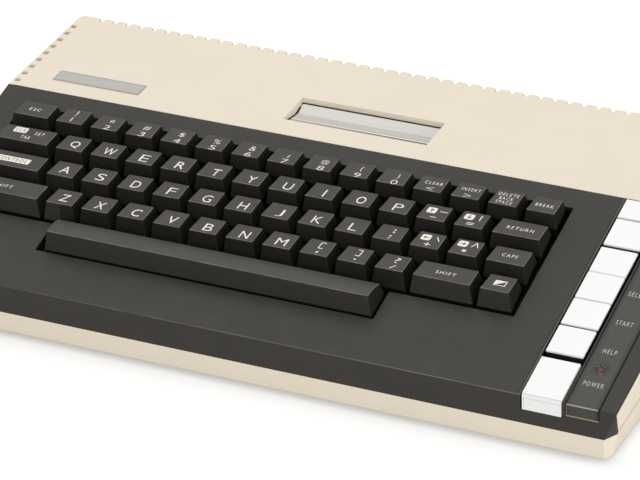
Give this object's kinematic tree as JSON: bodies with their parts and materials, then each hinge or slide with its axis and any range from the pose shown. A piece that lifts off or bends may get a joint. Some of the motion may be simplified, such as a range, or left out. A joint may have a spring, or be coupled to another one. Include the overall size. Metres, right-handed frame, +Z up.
{
  "type": "home computer",
  "caption": "Low wedge-shaped home computer: beige case, dark sloping bezel with a full keyboard, a column of white console keys and a two-door cartridge well.",
  "frame": {"origin": "on the table, under the middle of the case", "axes": "+X to the typist's right, +Y to the rear connectors, +Z up"},
  "size_m": [0.375, 0.2118, 0.0638],
  "materials": {
    "beige_plastic": "fine-grained warm beige moulding",
    "dark_plastic": "fine-grained dark brown-grey moulding",
    "key_plastic": "dark brown-grey key caps, lightly polished tops",
    "white_plastic": "satin white moulding",
    "smoked_plastic": "smoked strip with a satin face",
    "badge_metal": "satin silver plate, left bare",
    "door_metal": "finely streaked silver leaves",
    "black_plastic": "black inner and connector mouldings",
    "jack_metal": "plated connector shell",
    "foot_rubber": "black rubber",
    "board_laminate": "green circuit-board laminate",
    "chip_plastic": "black moulded chip packages",
    "sheet_steel": "bright sheet steel",
    "spring_steel": "plain steel wire and screws",
    "lamp_plastic": "dark red lamp lens"
  },
  "bodies": {
    "case": {"upper_case": "beige_plastic", "lower_case": "beige_plastic", "keyboard_bezel": "dark_plastic", "rubber_feet": "foot_rubber", "case_screws": "spring_steel", "badge_plate": "badge_metal", "cartridge_socket": "black_plastic", "main_board": "board_laminate", "board_chips": "chip_plastic", "rf_shield": "sheet_steel", "keyboard_frame": "black_plastic", "key_springs": "spring_steel", "keyboard_back_plate": "sheet_steel", "console_trim": "white_plastic", "label_strip": "smoked_plastic", "power_led": "lamp_plastic", "console_board": "board_laminate", "switch_bodies": "black_plastic", "din_sockets": "black_plastic", "television_jack": "jack_metal", "peripheral_socket": "black_plastic", "joystick_ports": "black_plastic"},
    "column_01_keys": {"column_01_keys": "key_plastic"},
    "column_02_keys": {"column_02_keys": "key_plastic"},
    "column_03_keys": {"column_03_keys": "key_plastic"},
    "column_04_keys": {"column_04_keys": "key_plastic"},
    "column_05_keys": {"column_05_keys": "key_plastic"},
    "column_06_keys": {"column_06_keys": "key_plastic"},
    "column_07_keys": {"column_07_keys": "key_plastic"},
    "column_08_keys": {"column_08_keys": "key_plastic"},
    "column_09_keys": {"column_09_keys": "key_plastic"},
    "column_10_keys": {"column_10_keys": "key_plastic"},
    "escape_key": {"escape_key": "key_plastic"},
    "clear_key": {"clear_key": "key_plastic"},
    "insert_key": {"insert_key": "key_plastic"},
    "delete_key": {"delete_key": "key_plastic"},
    "break_key": {"break_key": "key_plastic"},
    "tab_key": {"tab_key": "key_plastic"},
    "minus_key": {"minus_key": "key_plastic"},
    "equals_key": {"equals_key": "key_plastic"},
    "return_key": {"return_key": "key_plastic"},
    "control_key": {"control_key": "key_plastic"},
    "plus_key": {"plus_key": "key_plastic"},
    "asterisk_key": {"asterisk_key": "key_plastic"},
    "caps_key": {"caps_key": "key_plastic"},
    "left_shift_key": {"left_shift_key": "key_plastic"},
    "right_shift_key": {"right_shift_key": "key_plastic"},
    "inverse_key": {"inverse_key": "key_plastic"},
    "space_bar": {"space_bar": "key_plastic"},
    "space_bar_wire": {"space_bar_wire": "spring_steel"},
    "console_help_key": {"console_help_key": "white_plastic"},
    "console_start_key": {"console_start_key": "white_plastic"},
    "console_select_key": {"console_select_key": "white_plastic"},
    "console_option_key": {"console_option_key": "white_plastic"},
    "console_reset_key": {"console_reset_key": "white_plastic"},
    "cartridge_door_front": {"cartridge_door_front": "door_metal"},
    "cartridge_door_rear": {"cartridge_door_rear": "door_metal"},
    "power_rocker": {"power_rocker": "black_plastic"},
    "channel_knob": {"channel_knob": "black_plastic"},
    "expansion_cover": {"expansion_cover": "beige_plastic"}
  },
  "joints": [
    {"name": "column_01_keys_press", "type": "slide", "parent": "case", "child": "column_01_keys", "axis": [0, 0.2147, -0.9767], "range_m": [0, 0.0038], "stiffness_N_per_m": 480, "springref_m": -0.0005},
    {"name": "column_02_keys_press", "type": "slide", "parent": "case", "child": "column_02_keys", "axis": [0, 0.2147, -0.9767], "range_m": [0, 0.0038], "stiffness_N_per_m": 480, "springref_m": -0.0005},
    {"name": "column_03_keys_press", "type": "slide", "parent": "case", "child": "column_03_keys", "axis": [0, 0.2147, -0.9767], "range_m": [0, 0.0038], "stiffness_N_per_m": 480, "springref_m": -0.0005},
    {"name": "column_04_keys_press", "type": "slide", "parent": "case", "child": "column_04_keys", "axis": [0, 0.2147, -0.9767], "range_m": [0, 0.0038], "stiffness_N_per_m": 480, "springref_m": -0.0005},
    {"name": "column_05_keys_press", "type": "slide", "parent": "case", "child": "column_05_keys", "axis": [0, 0.2147, -0.9767], "range_m": [0, 0.0038], "stiffness_N_per_m": 480, "springref_m": -0.0005},
    {"name": "column_06_keys_press", "type": "slide", "parent": "case", "child": "column_06_keys", "axis": [0, 0.2147, -0.9767], "range_m": [0, 0.0038], "stiffness_N_per_m": 480, "springref_m": -0.0005},
    {"name": "column_07_keys_press", "type": "slide", "parent": "case", "child": "column_07_keys", "axis": [0, 0.2147, -0.9767], "range_m": [0, 0.0038], "stiffness_N_per_m": 480, "springref_m": -0.0005},
    {"name": "column_08_keys_press", "type": "slide", "parent": "case", "child": "column_08_keys", "axis": [0, 0.2147, -0.9767], "range_m": [0, 0.0038], "stiffness_N_per_m": 480, "springref_m": -0.0005},
    {"name": "column_09_keys_press", "type": "slide", "parent": "case", "child": "column_09_keys", "axis": [0, 0.2147, -0.9767], "range_m": [0, 0.0038], "stiffness_N_per_m": 480, "springref_m": -0.0005},
    {"name": "column_10_keys_press", "type": "slide", "parent": "case", "child": "column_10_keys", "axis": [0, 0.2147, -0.9767], "range_m": [0, 0.0038], "stiffness_N_per_m": 480, "springref_m": -0.0005},
    {"name": "escape_key_press", "type": "slide", "parent": "case", "child": "escape_key", "axis": [0, 0.2147, -0.9767], "range_m": [0, 0.0038], "stiffness_N_per_m": 120, "springref_m": -0.0005},
    {"name": "clear_key_press", "type": "slide", "parent": "case", "child": "clear_key", "axis": [0, 0.2147, -0.9767], "range_m": [0, 0.0038], "stiffness_N_per_m": 120, "springref_m": -0.0005},
    {"name": "insert_key_press", "type": "slide", "parent": "case", "child": "insert_key", "axis": [0, 0.2147, -0.9767], "range_m": [0, 0.0038], "stiffness_N_per_m": 120, "springref_m": -0.0005},
    {"name": "delete_key_press", "type": "slide", "parent": "case", "child": "delete_key", "axis": [0, 0.2147, -0.9767], "range_m": [0, 0.0038], "stiffness_N_per_m": 120, "springref_m": -0.0005},
    {"name": "break_key_press", "type": "slide", "parent": "case", "child": "break_key", "axis": [0, 0.2147, -0.9767], "range_m": [0, 0.0038], "stiffness_N_per_m": 120, "springref_m": -0.0005},
    {"name": "tab_key_press", "type": "slide", "parent": "case", "child": "tab_key", "axis": [0, 0.2147, -0.9767], "range_m": [0, 0.0038], "stiffness_N_per_m": 120, "springref_m": -0.0005},
    {"name": "minus_key_press", "type": "slide", "parent": "case", "child": "minus_key", "axis": [0, 0.2147, -0.9767], "range_m": [0, 0.0038], "stiffness_N_per_m": 120, "springref_m": -0.0005},
    {"name": "equals_key_press", "type": "slide", "parent": "case", "child": "equals_key", "axis": [0, 0.2147, -0.9767], "range_m": [0, 0.0038], "stiffness_N_per_m": 120, "springref_m": -0.0005},
    {"name": "return_key_press", "type": "slide", "parent": "case", "child": "return_key", "axis": [0, 0.2147, -0.9767], "range_m": [0, 0.0038], "stiffness_N_per_m": 120, "springref_m": -0.0005},
    {"name": "control_key_press", "type": "slide", "parent": "case", "child": "control_key", "axis": [0, 0.2147, -0.9767], "range_m": [0, 0.0038], "stiffness_N_per_m": 120, "springref_m": -0.0005},
    {"name": "plus_key_press", "type": "slide", "parent": "case", "child": "plus_key", "axis": [0, 0.2147, -0.9767], "range_m": [0, 0.0038], "stiffness_N_per_m": 120, "springref_m": -0.0005},
    {"name": "asterisk_key_press", "type": "slide", "parent": "case", "child": "asterisk_key", "axis": [0, 0.2147, -0.9767], "range_m": [0, 0.0038], "stiffness_N_per_m": 120, "springref_m": -0.0005},
    {"name": "caps_key_press", "type": "slide", "parent": "case", "child": "caps_key", "axis": [0, 0.2147, -0.9767], "range_m": [0, 0.0038], "stiffness_N_per_m": 120, "springref_m": -0.0005},
    {"name": "left_shift_key_press", "type": "slide", "parent": "case", "child": "left_shift_key", "axis": [0, 0.2147, -0.9767], "range_m": [0, 0.0038], "stiffness_N_per_m": 120, "springref_m": -0.0005},
    {"name": "right_shift_key_press", "type": "slide", "parent": "case", "child": "right_shift_key", "axis": [0, 0.2147, -0.9767], "range_m": [0, 0.0038], "stiffness_N_per_m": 120, "springref_m": -0.0005},
    {"name": "inverse_key_press", "type": "slide", "parent": "case", "child": "inverse_key", "axis": [0, 0.2147, -0.9767], "range_m": [0, 0.0038], "stiffness_N_per_m": 120, "springref_m": -0.0005},
    {"name": "space_bar_press", "type": "slide", "parent": "case", "child": "space_bar", "axis": [0, 0.2147, -0.9767], "range_m": [0, 0.0038], "stiffness_N_per_m": 240, "springref_m": -0.001},
    {"name": "space_bar_wire_turn", "type": "hinge", "parent": "case", "child": "space_bar_wire", "pos_m": [0, -0.05864, 0.02818], "axis": [1, 0, 0], "range_deg": [0, 22]},
    {"name": "console_help_key_press", "type": "slide", "parent": "case", "child": "console_help_key", "axis": [0, 0.2436, -0.9699], "range_m": [0, 0.0018], "stiffness_N_per_m": 150, "springref_m": -0.0002},
    {"name": "console_start_key_press", "type": "slide", "parent": "case", "child": "console_start_key", "axis": [0, 0.2436, -0.9699], "range_m": [0, 0.0018], "stiffness_N_per_m": 150, "springref_m": -0.0002},
    {"name": "console_select_key_press", "type": "slide", "parent": "case", "child": "console_select_key", "axis": [0, 0.2436, -0.9699], "range_m": [0, 0.0018], "stiffness_N_per_m": 150, "springref_m": -0.0002},
    {"name": "console_option_key_press", "type": "slide", "parent": "case", "child": "console_option_key", "axis": [0, 0.2436, -0.9699], "range_m": [0, 0.0018], "stiffness_N_per_m": 150, "springref_m": -0.0002},
    {"name": "console_reset_key_press", "type": "slide", "parent": "case", "child": "console_reset_key", "axis": [0, 0.2436, -0.9699], "range_m": [0, 0.0018], "stiffness_N_per_m": 150, "springref_m": -0.0002},
    {"name": "cartridge_door_rear_swing", "type": "hinge", "parent": "case", "child": "cartridge_door_rear", "pos_m": [-0.0039, 0.05975, 0.05837], "axis": [1, 0, 0], "range_deg": [0, 75], "stiffness_Nm_per_rad": 0.0005, "springref_deg": -20.05},
    {"name": "cartridge_door_front_swing", "type": "hinge", "parent": "case", "child": "cartridge_door_front", "pos_m": [-0.0039, 0.04086, 0.05774], "axis": [-1, 0, 0], "range_deg": [0, 75], "stiffness_Nm_per_rad": 0.0008, "springref_deg": -20.05},
    {"name": "power_rocker_tilt", "type": "hinge", "parent": "case", "child": "power_rocker", "pos_m": [0.15006, 0.0982, 0.0175], "axis": [1, 0, 0], "range_deg": [0, 16]},
    {"name": "channel_knob_slide", "type": "slide", "parent": "case", "child": "channel_knob", "axis": [1, 0, 0], "range_m": [0, 0.004]},
    {"name": "expansion_cover_pull", "type": "slide", "parent": "case", "child": "expansion_cover", "axis": [0, 1, 0], "range_m": [0, 0.03]}
  ],
  "couplings": [
    {"joint": "space_bar_wire_turn", "follows": "space_bar_press", "rad_per_m": 100.6}
  ]
}
